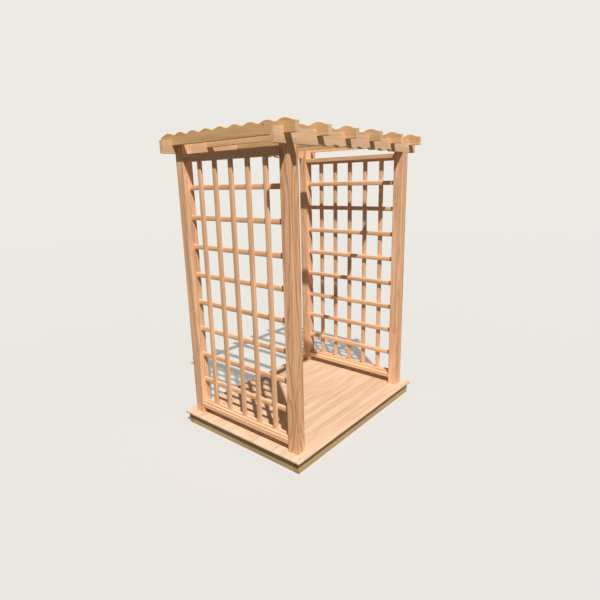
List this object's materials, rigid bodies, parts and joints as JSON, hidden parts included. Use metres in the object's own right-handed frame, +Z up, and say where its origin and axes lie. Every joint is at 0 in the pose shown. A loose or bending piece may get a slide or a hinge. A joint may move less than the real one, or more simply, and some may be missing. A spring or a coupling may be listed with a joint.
{
  "type": "wooden arbor",
  "caption": "Open walk-through garden arbor of planed timber: low board deck, square posts, lattice sides, wavy headers and scalloped rafters.",
  "frame": {"origin": "on the ground under the middle of the arbor", "axes": "+Z up; X across the walk-through; Y along the walk-through with the front at -Y"},
  "size_m": [1.886, 1.37, 2.461],
  "materials": {
    "post_timber": "planed softwood, unpainted, brown grain streaks and small knots",
    "slat_timber": "planed softwood slats, unpainted",
    "roof_timber": "planed softwood with sawn curves, unpainted",
    "deck_timber": "pale planed deck boards with rounded edges, unpainted",
    "frame_timber": "plain framing boards, unpainted"
  },
  "bodies": {
    "root": {"back_frame_board": "frame_timber", "back_header": "roof_timber", "back_left_post": "post_timber", "back_right_post": "post_timber", "deck_board_1": "deck_timber", "deck_board_2": "deck_timber", "deck_board_3": "deck_timber", "deck_board_4": "deck_timber", "deck_board_5": "deck_timber", "deck_board_6": "deck_timber", "deck_board_7": "deck_timber", "deck_board_8": "deck_timber", "deck_board_9": "deck_timber", "front_frame_board": "frame_timber", "front_header": "roof_timber", "front_left_post": "post_timber", "front_right_post": "post_timber", "joist_1": "frame_timber", "joist_2": "frame_timber", "joist_3": "frame_timber", "left_bottom_rail": "post_timber", "left_frame_board": "frame_timber", "left_inner_bottom_strip": "slat_timber", "left_inner_top_strip": "slat_timber", "left_lattice": "slat_timber", "left_outer_bottom_strip": "slat_timber", "left_outer_top_strip": "slat_timber", "left_top_rail": "post_timber", "rafter_1": "roof_timber", "rafter_2": "roof_timber", "rafter_3": "roof_timber", "rafter_4": "roof_timber", "rafter_5": "roof_timber", "rafter_6": "roof_timber", "right_bottom_rail": "post_timber", "right_frame_board": "frame_timber", "right_inner_bottom_strip": "slat_timber", "right_inner_top_strip": "slat_timber", "right_lattice": "slat_timber", "right_outer_bottom_strip": "slat_timber", "right_outer_top_strip": "slat_timber", "right_top_rail": "post_timber"}
  },
  "joints": []
}
